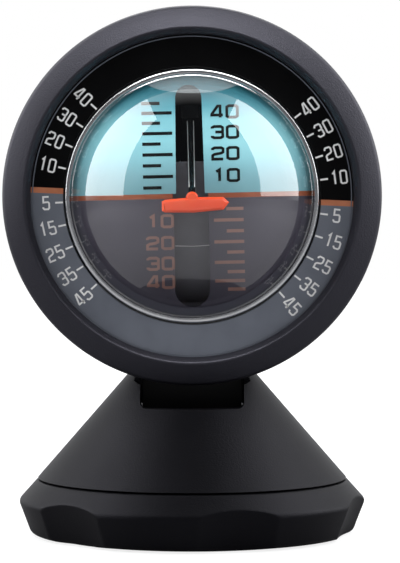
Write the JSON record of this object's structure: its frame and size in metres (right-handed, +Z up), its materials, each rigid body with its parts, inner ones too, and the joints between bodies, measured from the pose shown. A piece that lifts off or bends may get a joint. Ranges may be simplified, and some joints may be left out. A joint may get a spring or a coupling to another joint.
{
  "type": "inclinometer",
  "caption": "Free-standing two-axis inclinometer: a weighted ball and pointer behind a clear dome show roll and pitch; the head tilts and turns on a conical foot.",
  "frame": {"origin": "on the ground under the centre of the foot", "axes": "+Z up, the dial faces -Y, +X to the viewer's right"},
  "size_m": [0.075, 0.0698, 0.1057],
  "materials": {
    "textured_black_abs": "fine moulded texture",
    "black_plastic": "moulded",
    "foam_tape": "closed-cell foam",
    "zinc_steel": "zinc plated",
    "spring_steel": "bright drawn",
    "dial_print": "printed black above and grey below, white scale",
    "silver_ring": "bright plated",
    "clear_plastic": "clear, polished",
    "black_rubber": "moulded",
    "plug_plastic": "moulded",
    "brass": "turned",
    "shade_grey": "moulded",
    "gloss_black": "polished",
    "pointer_orange": "moulded",
    "sky_print": "printed, black scale",
    "ground_print": "printed, brown scale",
    "band_print": "printed"
  },
  "bodies": {
    "foot": {"adhesive_pad": "foam_tape", "base_plate": "black_plastic", "base_plate_screws": "zinc_steel", "base_ring": "textured_black_abs"},
    "turret": {"cone_cover": "textured_black_abs", "turntable": "black_plastic", "turntable_screws": "zinc_steel", "swivel_screw": "zinc_steel", "swivel_washer": "zinc_steel", "swivel_spring": "spring_steel", "hinge_bolt": "zinc_steel", "hinge_nut": "zinc_steel", "hinge_washers": "zinc_steel"},
    "head": {"neck_bracket": "black_plastic", "neck_screws": "zinc_steel", "rear_housing": "textured_black_abs", "housing_screws": "zinc_steel", "bezel_ring": "textured_black_abs", "dial_ring": "dial_print", "dome_retainer": "silver_ring", "dome": "clear_plastic", "dome_gasket": "black_rubber", "capsule_cup": "black_plastic", "fill_plug": "plug_plastic", "fill_seal": "black_rubber", "roll_pin": "spring_steel", "pin_clip": "spring_steel"},
    "swing": {"roll_frame": "black_plastic", "roll_bush": "brass", "roll_weight": "brass", "drum_axle": "spring_steel", "slot_shade": "shade_grey", "pointer_stem": "gloss_black", "pointer": "pointer_orange"},
    "ball": {"sky_shell": "sky_print", "ground_shell": "ground_print", "horizon_band": "band_print", "drum_weight": "brass"}
  },
  "joints": [
    {"name": "base_swivel", "type": "hinge", "parent": "foot", "child": "turret", "pos_m": [0, 0, 0.0089], "axis": [0, 0, 1], "continuous": true},
    {"name": "head_tilt", "type": "hinge", "parent": "turret", "child": "head", "pos_m": [0, 0, 0.022], "axis": [1, 0, 0], "range_deg": [-20, 6]},
    {"name": "roll", "type": "hinge", "parent": "head", "child": "swing", "pos_m": [0, -0.001, 0.0682], "axis": [0, -1, 0], "continuous": true},
    {"name": "pitch", "type": "hinge", "parent": "swing", "child": "ball", "pos_m": [0, -0.001, 0.0682], "axis": [0.9997, 0, 0.0227], "range_deg": [-45, 45]}
  ]
}
